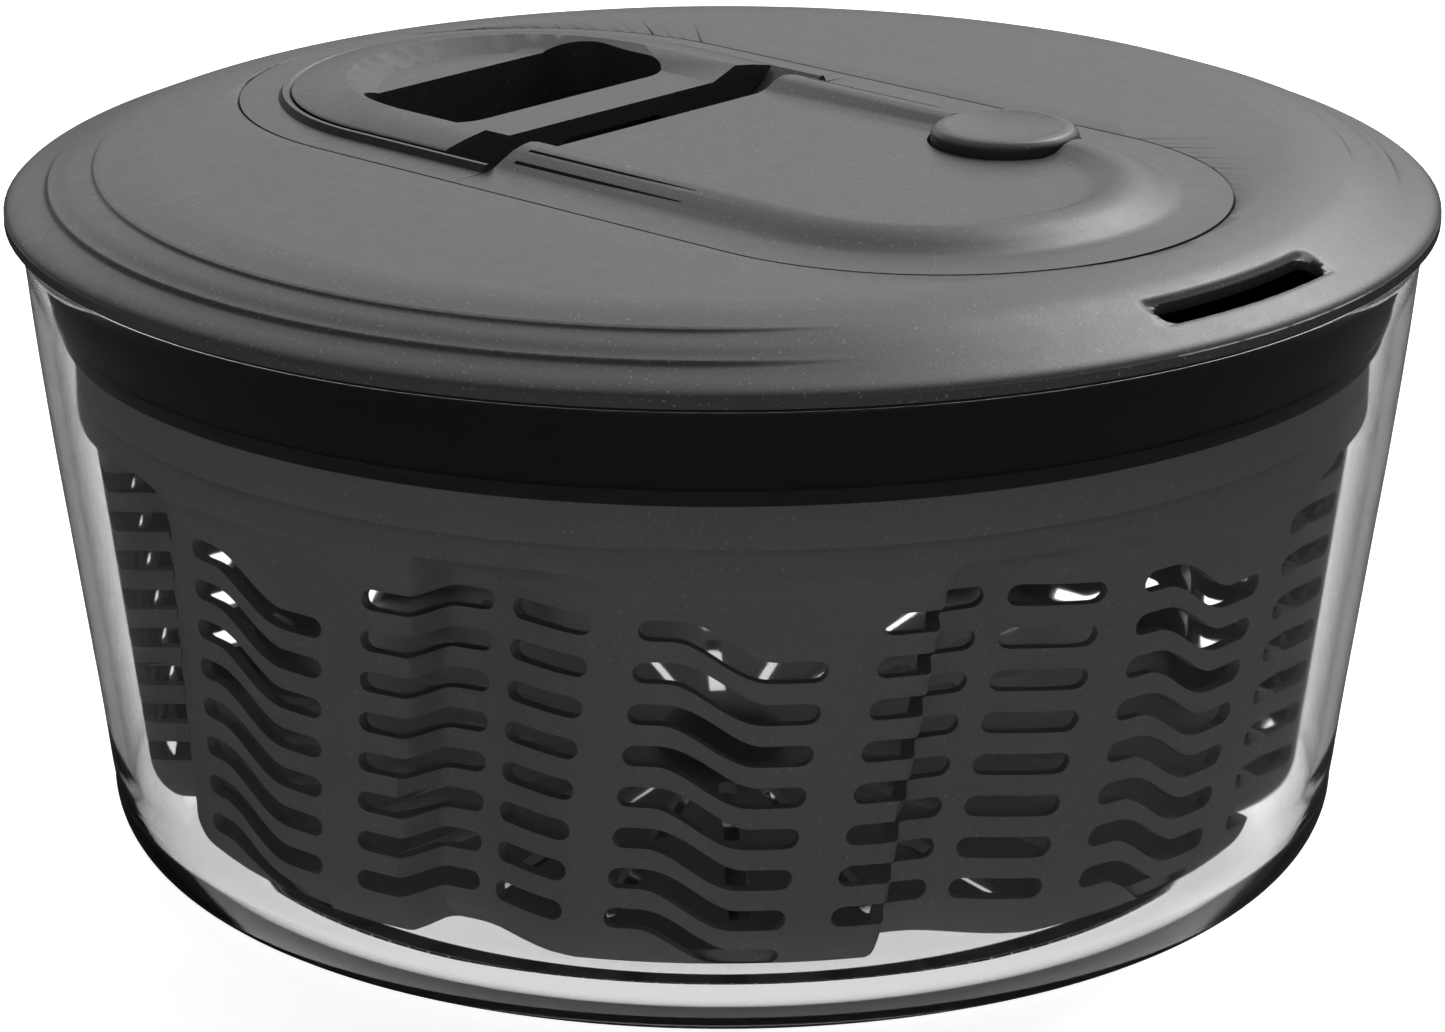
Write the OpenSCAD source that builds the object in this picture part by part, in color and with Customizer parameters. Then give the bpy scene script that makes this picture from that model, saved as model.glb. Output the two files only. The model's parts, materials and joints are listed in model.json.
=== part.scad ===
// Salad spinner with a retractable pull-cord drive. Millimetres, +Z up.
// Origin: centre of the bowl's base. +X runs from the pull handle to the pour slot.

/* [Show] */
// Sub-part to build, or all of them

/* [Bowl] */
// Radius of the flat base
bowl_base_r = 102.4; // [80:0.2:130]
// Radius of the corner between base and wall
bowl_corner_r = 13; // [6:0.5:20]
// Outside radius at the rim
bowl_rim_r = 128.8; // [110:0.2:160]
// Height of the bowl
bowl_h = 120.2; // [90:0.2:160]
// Wall thickness
bowl_wall = 2.8; // [1.5:0.1:4]
// Middle radius of the non-slip ring
foot_r = 90; // [60:1:100]

/* [Basket] */
// Height of the basket's bottom edge above the table
basket_z = 13; // [10:0.5:30]
// Outside radius half way up the wall
basket_r = 116; // [90:0.5:120]
// Outward lean of the wall, mm per mm of height
basket_lean = 0.128; // [0:0.002:0.2]
// Wall thickness
basket_wall = 2.2; // [1.5:0.1:3]
// Flutes round the wall
flutes = 8; // [4:1:12]
// Depth of each flute at its step
flute_depth = 9; // [3:0.5:10]
// Rows of slots
slot_rows = 8; // [4:1:9]
// Height from one row to the next
slot_pitch = 7.9; // [6:0.1:10]
// Height of one slot
slot_h = 4; // [2:0.1:5]
// Outside radius of the plain band on top
band_r = 120.3; // [110:0.1:121]

/* [Lid] */
// Outside radius of the lid
lid_r = 132; // [115:0.5:160]
// Height of the lid's rim above the table
lid_z = 124; // [95:0.5:165]
// Height of the flat middle over the rim
lid_rise = 8; // [4:0.5:20]
// Lid wall thickness
lid_wall = 2.2; // [1.5:0.1:3]
// Outside radius of the skirt that reaches into the bowl
skirt_r = 122; // [110:0.5:123]
// Half the angle of the pour slot
pour_half_angle = 9; // [4:1:20]

/* [Mechanism] */
// Half length of the cover's straight sides
plate_half = 51; // [40:1:60]
// Radius of the cover's ends
plate_r = 53.7; // [50:0.1:56]
// Radius at which the cord runs on the reel
cord_r = 16; // [15.5:0.1:16.5]
// Height of the cord's run
cord_z = 117.5; // [117:0.1:118]
// Cord diameter
cord_d = 2; // [1.2:0.1:2]
// Radius of the axle
axle_r = 3; // [2.5:0.1:3.5]
// Teeth of the one-way clutch
clutch_teeth = 24; // [12:1:36]

/* [Handle] */
// X of the centre of the handle's round end
handle_x = -52; // [-56:0.5:-48]
// Radius of the handle's round end
handle_r = 43.9; // [40:0.1:44]
// X of the face of the cross bar
bar_x = -28; // [-32:0.5:-27]
// Thickness of the cross bar
bar_w = 12; // [9:0.5:14]
// Upward angle of the pull
pull_angle = 35; // [25:1:45]

/* [Brake] */
// X of the brake button
brake_x = 41; // [38:0.5:46]
// Y of the brake button
brake_y = 32; // [28:0.5:36]
// Radius of the button
brake_r = 13.7; // [10:0.1:14]
// How far the button goes in
brake_travel = 3; // [2:0.1:3]

/* [Hidden] */
$fn = 96;
clear = 0.3;                                  // gap between parts that move apart
run_fit = 0.05;                               // radial play of a shaft in its bearing
cut = 60;                                     // length that cuts right through
sole = 0.3;                                   // the foot ring stands this far below the bowl

// Bowl outline: base, corner arc, wall with a slightly fuller middle, thickened rim.
corner_steps = 6;
function corner(r, t, z0) = [for (i = [0:corner_steps]) let (a = -90 + i * 82 / corner_steps)
    [bowl_base_r + (r - t) * cos(a), z0 + bowl_corner_r + (r - t) * sin(a)]];
wall_mid = [bowl_rim_r - 6.9, 62];
bowl_floor = 3.3;

// Lid levels
seam = 0.5;                                   // gap round the cover
rim_under = bowl_h + clear;                   // underside of the inner lid's flange
edge_z = lid_z - 2.4;                         // bottom of the lid's side band
plateau = lid_z + lid_rise;
ledge_z = plateau - 2;                        // the cover's flange rests here
plate_hole_r = plate_r + seam;
inner_floor = 104.2;
inner_wall = 1.8;
skirt_z = 104;
seal_z = 102;

// Cover levels
recess_z = plateau + 1.5;                     // floor of the recess in the housing
ridge_z = plateau + 3.7;
housing_x = -16;
shell = 2;
tray_z = 107.6;
tray_t = 2;
tray_r = 51.5;
gap_floor = lid_z;                            // floor of the finger gap
well_r = brake_r + 0.6;

// Handle bay: its walls slope like the pull, so the handle slides out along them.
slope = tan(pull_angle);
bay_r = handle_r + 0.9;
bay_rim = plateau + 1.6;
bay_floor = 113.6;
function bay_at(z) = bay_r - (bay_rim - z) / slope;
function handle_at(z) = handle_r - (bay_rim - z) / slope;
handle_floor = bay_floor + 1;
window_x0 = -68.5;
window_y = 31;
window_corner = 9;
part_z = 132.3;                               // parting line at the bar's face
part_tilt = 9.3;                              // the parting plane falls away from the bar
pocket_y = 14.5;
pocket_top = 130;

// Drive levels
reel_z = 110.5;
drum_z0 = 112.2;
drum_z1 = 118.6;
reel_top = 120.4;
flange_r = 24;
neck_r = 8.6;
neck_z = 98.9;
disc_z = 97;
disc_t = 1.6;
disc_r = 116.5;
disc_rim = 101;
clutch_in = 16;
clutch_root = 18.4;
clutch_out = 21.5;
clutch_top = 103.6;
lug_half = 1.5;                               // half angle of the basket's driving lugs
axle_z0 = 94.5;
axle_z1 = 132.6;
case_r = 13.6;
case_z = 121.6;
pad_gap = 0.8;                                // pad to disc with the button right in
brake_pad_z = disc_z + disc_t + brake_travel + pad_gap;
pad_t = 2.5;
guide_top = 118;

ferrule_r = 2;
tray_screws = [[-30, 45.5], [-30, -45.5], [80, 30], [80, -30]];
handle_screw_at = [[-34, 18.4, 117], [-34, -18.4, 117], [-72.5, 9, 121.2], [-72.5, -9, 121.2]];
screw_head = 1.4;
lid_screw_r = 108;

// ---------- helpers ----------
function flip(pts) = [for (i = [len(pts) - 1:-1:0]) [-pts[i][0], pts[i][1]]];

// Runs a (y, z) outline along X.
module along_x(x0, x1) {
    translate([x0, 0, 0]) rotate([90, 0, 90]) linear_extrude(x1 - x0) children();
}

// Both halves of a (y, z) outline given for y >= 0.
module both(pts) {
    polygon(concat(pts, flip(pts)));
}

// Half turn of an (r, z) outline round (x, 0): side = 1 for the +X half, -1 for the -X half.
module half_turn(x, side) {
    translate([x, 0, 0]) rotate([0, 0, -90 * side]) rotate_extrude(angle = 180) children();
}

module stadium(r, x0, x1) {
    translate([x0, 0]) circle(r);
    translate([x1, 0]) circle(r);
    translate([x0, -r]) square([x1 - x0, 2 * r]);
}

module rounded(x0, x1, y, r) {
    for (x = [x0 + r, x1 - r]) for (s = [-1, 1]) translate([x, s * (y - r)]) circle(r);
    translate([x0 + r, -y]) square([x1 - x0 - 2 * r, 2 * y]);
    translate([x0, r - y]) square([x1 - x0, 2 * (y - r)]);
}

module tube(r_out, r_in, z0, z1) {
    difference() {
        translate([0, 0, z0]) cylinder(r = r_out, h = z1 - z0);
        translate([0, 0, z0 - 1]) cylinder(r = r_in, h = z1 - z0 + 2);
    }
}

// Ring sector from angle a0 to a1.
module sector(r0, r1, a0, a1, z0, z1) {
    rotate([0, 0, a0]) rotate_extrude(angle = a1 - a0)
        translate([r0, z0]) square([r1 - r0, z1 - z0]);
}

// Pan-head screw, head down, pointing up.
module screw(r, head_r, head_h, length) {
    difference() {
        cylinder(r = head_r, h = head_h);
        translate([-head_r * 0.7, -0.4, -1]) cube([head_r * 1.4, 0.8, 1.8]);
        translate([-0.4, -head_r * 0.7, -1]) cube([0.8, head_r * 1.4, 1.8]);
    }
    translate([0, 0, head_h]) cylinder(r = r, h = length - 1);
    translate([0, 0, head_h + length - 1]) cylinder(r1 = r, r2 = r * 0.4, h = 1);
}

// Round bar swept along a route of points, n sides.
function unit(v) = v / norm(v);
function tangent(p, i) = unit(p[min(i + 1, len(p) - 1)] - p[max(i - 1, 0)]);
function side_of(t) = unit(cross(t, abs(t[2]) > 0.9 ? [1, 0, 0] : [0, 0, 1]));
module swept(p, r, n) {
    pts = [for (i = [0:len(p) - 1]) let (t = tangent(p, i), u = side_of(t), v = cross(u, t))
        for (k = [0:n - 1]) p[i] + r * (cos(360 * k / n) * u + sin(360 * k / n) * v)];
    last = (len(p) - 1) * n;
    polyhedron(points = pts, faces = concat(
        [[for (k = [0:n - 1]) k]],
        [[for (k = [n - 1:-1:0]) last + k]],
        [for (i = [0:len(p) - 2]) for (k = [0:n - 1])
            [i * n + k, (i + 1) * n + k, (i + 1) * n + (k + 1) % n, i * n + (k + 1) % n]]));
}

// ---------- bowl ----------
module bowl() {
    color([0.86, 0.89, 0.9, 0.35]) difference() {
        union() {
            rotate_extrude() polygon(concat(
                [[0, sole]],
                corner(bowl_corner_r, 0, sole),
                [wall_mid, [bowl_rim_r, bowl_h - 3.2], [bowl_rim_r + 0.5, bowl_h - 2.6],
                 [bowl_rim_r + 0.5, bowl_h - 0.6], [bowl_rim_r, bowl_h],
                 [bowl_rim_r - bowl_wall + 0.4, bowl_h], [bowl_rim_r - bowl_wall, bowl_h - 0.5],
                 [wall_mid[0] - bowl_wall, wall_mid[1]]],
                [for (i = [corner_steps:-1:0]) corner(bowl_corner_r, bowl_wall + 0.3, sole)[i]],
                [[0, sole + bowl_floor]]));
            // Pivot pin for the basket
            rotate_extrude() polygon([[0, sole + 1], [9, sole + 1], [7, 10], [4, 11],
                [4, 17.2], [3.2, 18], [0, 18]]);
        }
        tube(foot_r + 3, foot_r - 3, -1, sole + 1.8);
    }
}

module foot_ring() {
    color([0.8, 0.81, 0.82]) tube(foot_r + 3, foot_r - 3, 0, sole + 1.8);
}

// ---------- basket ----------
bulge_start = -55.5;                          // where one flute's bulge starts, at the top row
step_u = 27.2;                                // angle from there to the step
twist_all = 4.5;                              // the flutes lean back this much, top row to bottom
top_row_z = 80.3;
bottom_row_z = 14;
wall_zs = [basket_z, 31, 49, 67, 87.4];
outer_u = [0, 5.44, 10.88, 16.32, 21.76, step_u, 28.3, 32.5, 36.7, 40.9];
inner_u = [0, 5.18, 10.36, 15.54, 20.72, 25.9, 27, 31.5, 36, 40.5];
columns = len(outer_u);
around = columns * flutes;
function wall_r(z) = basket_r + basket_lean * (z - 73);
function lean(z) = twist_all * (z - top_row_z) / (top_row_z - bottom_row_z);
// Step back of the wall: none on the bulge, full at the step, then out again.
function set_back(k) = k <= 5 ? 0 : flute_depth * (columns - k) / (columns - 6);
function wall_pt(i, z, inner) = let (k = i % columns,
    a = bulge_start + (inner ? inner_u[k] : outer_u[k]) + floor(i / columns) * 360 / flutes + lean(z),
    r = wall_r(z) - set_back(k) - (inner ? basket_wall : 0)) [r * cos(a), r * sin(a), z];

module fluted_wall() {
    rings = len(wall_zs);
    side = rings * around;
    pts = concat([for (z = wall_zs) for (i = [0:around - 1]) wall_pt(i, z, false)],
        [for (z = wall_zs) for (i = [0:around - 1]) wall_pt(i, z, true)]);
    top = (rings - 1) * around;
    polyhedron(points = pts, faces = concat(
        [for (j = [0:rings - 2]) for (i = [0:around - 1]) let (n = (i + 1) % around)
            for (t = [[i, i + around, n], [n, i + around, n + around]]) [for (v = t) v + j * around]],
        [for (j = [0:rings - 2]) for (i = [0:around - 1]) let (n = (i + 1) % around)
            for (t = [[i, n, i + around], [n, n + around, i + around]]) [for (v = t) v + j * around + side]],
        [for (i = [0:around - 1]) let (n = (i + 1) % around) [i, n, n + side, i + side]],
        [for (i = [0:around - 1]) let (n = (i + 1) % around)
            [top + i, top + i + side, top + n + side, top + n]]));
}

// Slot outline in the plane across the wall: from t0 to t1, dropping by `drop` on the way.
function cap_pts(t, z, a0) = [for (a = [a0:45:a0 + 180])
    [t + slot_h / 2 * cos(a), z + slot_h / 2 * sin(a)]];
function slot_outline(t0, t1, z) = concat(cap_pts(t1 - slot_h / 2, z, -90), cap_pts(t0 + slot_h / 2, z, 90));
function s_outline(t0, t1, t2, t3, z) = concat(cap_pts(t3 - slot_h / 2, z - slot_pitch, -90),
    [[t2 + 1.2, z - slot_pitch + slot_h / 2], [t1 + 1.8, z + slot_h / 2]], cap_pts(t0 + slot_h / 2, z, 90),
    [[t1 - 1.2, z - slot_h / 2], [t2 - 1.8, z - slot_pitch - slot_h / 2]]);
module radial_cut(u, z) {
    rotate([0, 0, bulge_start + u + lean(z)]) translate([basket_r - 18, 0, 0])
        rotate([90, 0, 90]) linear_extrude(26) children();
}

module basket() {
    shelf = 86;
    shelf_in = wall_r(shelf) - flute_depth - 4;
    lug_in = disc_r - 2;
    color([0.235, 0.23, 0.225]) difference() {
        union() {
            fluted_wall();
            // Plain band on a shelf that closes the flutes
            rotate_extrude() polygon([[shelf_in, shelf], [wall_r(shelf) + 0.3, shelf - 1],
                [wall_r(shelf) + 1, shelf + 0.8], [band_r - 0.4, shelf + 2.4], [band_r, shelf + 4],
                [band_r, 102.4], [band_r - 0.6, 103], [band_r - 2.1, 103], [band_r - 2.1, shelf + 3],
                [shelf_in, shelf + 2.4]]);
            // Floor and hub
            translate([0, 0, basket_z + 0.4]) linear_extrude(basket_wall)
                polygon([for (i = [0:around - 1]) let (o = wall_pt(i, basket_z, false),
                    n = wall_pt(i, basket_z, true)) [(o[0] + n[0]) / 2, (o[1] + n[1]) / 2]]);
            rotate_extrude() polygon([[0, basket_z], [14, basket_z], [14, basket_z + 2.6], [9, 22], [0, 22]]);
            // Lugs that the drive disc turns
            for (i = [0:flutes - 1]) rotate([0, 0, i * 360 / flutes])
                sector(lug_in, band_r - 1, -lug_half, lug_half, shelf + 1, disc_rim - 0.5);
        }
        translate([0, 0, basket_z - 1]) cylinder(r = 6, h = 8);
        for (i = [0:flutes - 1]) rotate([0, 0, i * 360 / flutes]) for (k = [0:slot_rows - 1]) {
            z = top_row_z - slot_h / 2 - k * slot_pitch;
            if (k < slot_rows - 1) radial_cut(9.8, z) polygon(s_outline(-16.5, -7.4, 5.2, 16.3, z));
            if (k == slot_rows - 1) radial_cut(9.8, z) polygon(slot_outline(-16.5, -7, z));
            radial_cut(27.5, z) polygon(slot_outline(-11, 10.6, z));
            radial_cut(38.8, z) polygon(slot_outline(-8, 8, z));
        }
        for (i = [0:23]) rotate([0, 0, i * 15]) {
            translate([24, -1.6, basket_z - 1]) cube([30, 3.2, 6]);
            translate([60, -2, basket_z - 1]) cube([32, 4, 6]);
        }
    }
}

module pivot_bush() {
    color([0.85, 0.85, 0.83]) difference() {
        translate([0, 0, basket_z + 0.2]) cylinder(r = 6, h = 6.8);
        translate([0, 0, basket_z - 1]) cylinder(r = 4 + run_fit, h = 6.3);
    }
}

// ---------- lid ----------
module lid_shell() {
    color([0.43, 0.43, 0.44]) difference() {
        union() {
            difference() {
                rotate_extrude() polygon([[0, plateau], [103, plateau], [109, plateau - 0.4],
                    [113.5, lid_z + 6.9], [117.5, lid_z + 5.8], [122.7, lid_z + 3.9],
                    [127, lid_z + 2.1], [130.6, lid_z + 0.8], [131.7, lid_z],
                    [lid_r, lid_z - 0.6], [lid_r, edge_z],
                    [lid_r - lid_wall, edge_z], [lid_r - lid_wall, lid_z - 1.4],
                    [123, lid_z + 1.1], [115.6, lid_z + 4], [108.8, plateau - 2.6],
                    [100, plateau - lid_wall], [0, plateau - lid_wall]]);
                translate([0, 0, ledge_z]) linear_extrude(10)
                    stadium(plate_hole_r, handle_x, plate_half);
            }
            // Ledge for the cover
            translate([0, 0, ledge_z - 2]) linear_extrude(2)
                stadium(plate_hole_r + 2, handle_x, plate_half);
            for (i = [0:5]) rotate([0, 0, 30 + i * 60]) translate([lid_screw_r, 0, inner_floor + inner_wall])
                cylinder(r = 4, h = 129.9 - inner_floor - inner_wall);
        }
        translate([0, 0, ledge_z - 10]) linear_extrude(20)
            stadium(plate_hole_r - 3.8, handle_x, plate_half);
        for (i = [0:5]) rotate([0, 0, 30 + i * 60]) translate([lid_screw_r, 0, 100])
            cylinder(r = 1.5, h = 22);
        // Pour slot
        sector(119.5, 125, -pour_half_angle, pour_half_angle, 110, 140);
        for (s = [-1, 1]) rotate([0, 0, s * pour_half_angle]) translate([122.25, 0, 110])
            cylinder(r = 2.75, h = 30);
    }
}

module lid_inner() {
    color([0.06, 0.06, 0.065]) difference() {
        rotate_extrude() polygon([[0, inner_floor], [skirt_r - 3, inner_floor], [skirt_r - 2.4, skirt_z],
            [skirt_r, skirt_z], [skirt_r, rim_under], [bowl_rim_r + 1.2, rim_under],
            [bowl_rim_r + 1.2, edge_z], [skirt_r - 1.8, edge_z], [skirt_r - 1.8, inner_floor + inner_wall],
            [0, inner_floor + inner_wall]]);
        translate([0, 0, 100]) cylinder(r = 12, h = 10);
        translate([brake_x, brake_y, 100]) cylinder(r = 6, h = 10);
        sector(110, 118.5, -pour_half_angle, pour_half_angle, 100, 110);
        for (i = [0:5]) rotate([0, 0, 30 + i * 60]) translate([lid_screw_r, 0, 100])
            cylinder(r = 1.5, h = 10);
    }
}

module lid_seal() {
    color([0.1, 0.1, 0.1]) rotate_extrude() polygon([[skirt_r - 1.1, seal_z], [skirt_r - 0.2, seal_z],
        [skirt_r + 0.6, skirt_z - 0.5], [skirt_r + 0.6, skirt_z + 1], [skirt_r, skirt_z + 1],
        [skirt_r, skirt_z], [skirt_r - 1.1, skirt_z]]);
}

module lid_screws() {
    color([0.7, 0.7, 0.72]) for (i = [0:5]) rotate([0, 0, 30 + i * 60])
        translate([lid_screw_r, 0, inner_floor - 1.6]) screw(1.5, 3, 1.6, 12);
}

// ---------- cover ----------
// Housing outline, y >= 0: over the top from the middle to the seam, then back under the skin.
housing_side = [[27, recess_z], [29.5, recess_z + 0.5], [32, ridge_z - 0.4], [34, ridge_z], [36, ridge_z - 0.2],
    [38.5, ridge_z - 0.8], [41, ridge_z - 1.9], [43, ridge_z - 2.9], [45, ridge_z - 3.5]];
housing_skin = concat([[0, recess_z]], housing_side, [[plate_r, plateau], [plate_r, ledge_z], [41.8, ledge_z],
    [41.6, lid_z + 8], [38, lid_z + 8.9], [33.6, ridge_z - 2.2], [27.4, recess_z - shell], [0, recess_z - shell]]);
// Bay outline, y >= 0.
bay_lip = [[bay_r, bay_rim], [bay_r + 0.8, bay_rim], [bay_r + 1.6, plateau + 0.3],
    [plate_r, plateau], [plate_r, ledge_z], [bay_at(ledge_z) + 3.4, ledge_z]];
bay_outline = concat([[0, bay_floor], [bay_at(bay_floor), bay_floor]], bay_lip,
    [[bay_at(bay_floor - 1.8) + 3.4, bay_floor - 1.8], [0, bay_floor - 1.8]]);
gap_outline = concat([[0, gap_floor], [bay_at(gap_floor), gap_floor]], bay_lip,
    [[bay_at(gap_floor - 1.6) + 3.4, gap_floor - 1.6], [0, gap_floor - 1.6]]);
bay_end = [[0, gap_floor], [bay_at(gap_floor), gap_floor],
    [bay_at(bay_floor) + 1, bay_floor - 1.8], [0, bay_floor - 1.8]];
housing_end = concat([[0, recess_z]], housing_side,
    [[bay_at(gap_floor) + 2, gap_floor - 1.6], [0, gap_floor - 1.6]]);

module mechanism_cover() {
    color([0.44, 0.44, 0.45]) difference() {
        union() {
            along_x(housing_x, plate_half) both(housing_skin);
            half_turn(plate_half, 1) polygon(housing_skin);
            along_x(housing_x, housing_x + 1.6) both(housing_end);
            half_turn(handle_x, -1) polygon(bay_outline);
            along_x(handle_x, bar_x + 2) both(bay_outline);
            along_x(bar_x, housing_x) both(gap_outline);
            along_x(bar_x + 0.4, bar_x + 2) both(bay_end);
            // Well round the button, boss for the axle, screw posts
            translate([brake_x, brake_y, 124]) cylinder(r = well_r + 1.6, h = 8.2);
            intersection() {
                translate([brake_x, brake_y, 131]) cylinder(r = well_r + 1.6, h = 2.4);
                translate([0, 0, 124]) linear_extrude(20) stadium(44, -plate_half, plate_half);
            }
            translate([0, 0, 130.2]) cylinder(r = 6, h = 2);
            for (p = tray_screws) translate([p[0], p[1], tray_z + tray_t])
                cylinder(r = 3.5, h = 132 - tray_z - tray_t);
        }
        translate([brake_x, brake_y, 120]) cylinder(r = well_r, h = 20);
        translate([0, 0, 120]) cylinder(r = axle_r, h = axle_z1 - 120);
        for (p = tray_screws) translate([p[0], p[1], tray_z]) cylinder(r = 1.5, h = 16);
        // Eyelet seat
        along_x(bar_x - 1, bar_x + 4) translate([0, cord_z]) circle(3.2);
        // Shallow grooves along the housing, fading out toward the button
        for (s = [-1, 1]) for (g = [[41, 1.9], [37.3, 0.5]])
            translate([-13, s * g[0] - 0.4, ridge_z - g[1] - 0.6]) rotate([0, -0.8, 0]) cube([41, 0.8, 2]);
    }
}

module mechanism_base() {
    color([0.12, 0.12, 0.12]) difference() {
        union() {
            translate([0, 0, tray_z]) linear_extrude(tray_t) stadium(tray_r, -plate_half, plate_half);
            translate([0, 0, tray_z]) linear_extrude(ledge_z - 2 - tray_z) difference() {
                stadium(tray_r, -plate_half, plate_half);
                stadium(tray_r - 1.8, -plate_half, plate_half);
            }
            translate([brake_x, brake_y, tray_z]) cylinder(r = 5.4, h = guide_top - tray_z);
        }
        translate([0, 0, 100]) cylinder(r = neck_r + 0.6, h = 20);
        translate([brake_x, brake_y, 100]) cylinder(r = axle_r + run_fit, h = 30);
        for (p = tray_screws) translate([p[0], p[1], 100]) cylinder(r = 1.5, h = 20);
    }
}

module base_screws() {
    color([0.7, 0.7, 0.72]) for (p = tray_screws) translate([p[0], p[1], tray_z - 1.4])
        screw(1.5, 3, 1.4, 14);
}

// ---------- handle ----------
handle_outline = [[0, handle_floor], [handle_at(handle_floor), handle_floor], [handle_r, bay_rim],
    [handle_r - 0.5, lid_z + 10], [38.5, lid_z + 11], [33.6, ridge_z], [27.5, recess_z], [0, recess_z]];
handle_cavity = [[0, handle_floor + 2], [handle_at(handle_floor + 2) - 3.6, handle_floor + 2],
    [39.4, lid_z + 8.9], [38.2, lid_z + 9.1], [33.6, lid_z + 9.6], [28, recess_z - 2], [0, recess_z - 2]];

module handle_body() {
    difference() {
        union() {
            half_turn(handle_x, -1) polygon(handle_outline);
            along_x(handle_x, bar_x) both(handle_outline);
        }
        difference() {
            union() {
                half_turn(handle_x, -1) polygon(handle_cavity);
                along_x(handle_x, bar_x - 2) both(handle_cavity);
            }
            translate([0, 0, 100]) linear_extrude(cut)
                rounded(window_x0 - 2, bar_x - bar_w + 2, window_y + 2, window_corner + 2);
            translate([bar_x - 6.5, -pocket_y - 1.5, 100]) cube([10, 2 * pocket_y + 3, pocket_top - 98.5]);
            for (p = handle_screw_at) translate([p[0], p[1], 100]) cylinder(r = 3, h = cut);
        }
        translate([0, 0, 100]) linear_extrude(cut)
            rounded(window_x0, bar_x - bar_w, window_y, window_corner);
        // Pocket for the cord's eyelet, open below, with a hole for the cord
        translate([bar_x - 5, 3 - pocket_y, 100]) cube([6, 2 * pocket_y - 6, pocket_top - 100]);
        translate([bar_x - 5, -pocket_y, 100]) cube([6, 2 * pocket_y, pocket_top - 103]);
        for (s = [-1, 1]) along_x(bar_x - 5, bar_x + 1) translate([s * (pocket_y - 3), pocket_top - 3]) circle(3);
        along_x(bar_x - 9, bar_x) translate([0, cord_z]) circle(1.3);
        along_x(bar_x - 10, bar_x - 6.6) translate([0, cord_z]) circle(ferrule_r);
        for (p = handle_screw_at) translate([p[0], p[1], 100]) {
            cylinder(r = 1.25, h = p[2] + 10 - 100);
            cylinder(r = 2.7, h = p[2] + screw_head - 100);
        }
    }
}

// Half space under the slanted parting plane, moved up by dz.
module below_parting(dz) {
    translate([bar_x, 0, part_z + dz]) rotate([0, -part_tilt, 0]) translate([-150, -100, -100])
        cube([200, 200, 100]);
}

module handle_top() {
    color([0.42, 0.42, 0.43]) difference() {
        handle_body();
        below_parting(0);
    }
}

module handle_bottom() {
    color([0.4, 0.4, 0.41]) intersection() {
        handle_body();
        below_parting(-0.05);
    }
}

module handle_screws() {
    color([0.7, 0.7, 0.72]) for (p = handle_screw_at)
        translate(p) screw(1.25, 2.5, screw_head, 8);
}

// ---------- cord ----------
tangent_x = -9.65;
tangent_y = 12.76;
cord_route = [[tangent_x, tangent_y, cord_z], [-18, 6.44, cord_z], [-24, 1.9, cord_z],
    [-25.5, 0.8, cord_z], [-27, 0.2, cord_z], [-28.5, 0, cord_z], [-34.5, 0, cord_z]];

module pull_cord() {
    color([0.9, 0.9, 0.88]) swept(cord_route, cord_d / 2, 8);
}

module cord_winding() {
    lay = cord_d + 0.1;
    color([0.9, 0.9, 0.88]) {
        for (k = [1:2]) rotate_extrude() translate([cord_r, cord_z - k * lay]) circle(cord_d / 2, $fn = 24);
        rotate_extrude() translate([cord_r + 1.9, cord_z - 1.5 * lay]) circle(cord_d / 2, $fn = 24);
    }
}

module cord_guide() {
    color([0.75, 0.76, 0.78]) translate([bar_x, 0, cord_z]) rotate([0, 90, 0]) rotate_extrude()
        polygon([[2.2, -1], [3, -1], [3.2, 0.3], [3.2, 2.4], [4.6, 2.4], [4.6, 3.2], [2.8, 3.4], [2.2, 2.9]]);
}

module cord_ferrule() {
    color([0.75, 0.76, 0.78]) along_x(bar_x - 10, bar_x - 6.6) translate([0, cord_z]) circle(ferrule_r);
}

// ---------- reel and clutch ----------
module drive_axle() {
    color([0.72, 0.73, 0.75]) difference() {
        translate([0, 0, axle_z0]) cylinder(r = axle_r, h = axle_z1 - axle_z0);
        tube(axle_r + 1, axle_r - 0.5, 95.4, 96.2);
    }
}

module axle_clip() {
    color([0.55, 0.56, 0.58]) difference() {
        tube(5.5, axle_r - 0.5, 95.4, 96.2);
        translate([0, -1.6, 95]) cube([8, 3.2, 2]);
    }
}

module thrust_washer() {
    color([0.86, 0.86, 0.84]) tube(14, neck_r + 0.6, tray_z + tray_t, reel_z - clear);
}

module reel() {
    color([0.2, 0.2, 0.21]) difference() {
        union() {
            translate([0, 0, neck_z]) cylinder(r = neck_r, h = reel_z - neck_z);
            translate([0, 0, reel_z]) cylinder(r = flange_r, h = drum_z0 - reel_z);
            translate([0, 0, drum_z0]) cylinder(r = cord_r - cord_d / 2, h = drum_z1 - drum_z0);
            translate([0, 0, drum_z1]) cylinder(r = 7, h = reel_top - drum_z1);
            translate([0, 0, reel_top]) cylinder(r = 5.2, h = 9.2);
        }
        translate([0, 0, 90]) cylinder(r = axle_r + run_fit, h = cut);
        tube(cord_r - 3, neck_r - 1, 108, 117);
        // Slot for the spring's inner end
        translate([3.9, -0.4, 122.5]) cube([2, 0.8, 8]);
    }
}

module reel_cap() {
    color([0.2, 0.2, 0.21]) tube(flange_r, 7, drum_z1, reel_top);
}

module spring_case() {
    color([0.15, 0.15, 0.15]) difference() {
        tube(case_r, 7, case_z, recess_z - shell);
        translate([0, 0, case_z + 1.2]) cylinder(r = case_r - 1.2, h = 20);
    }
}

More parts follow.
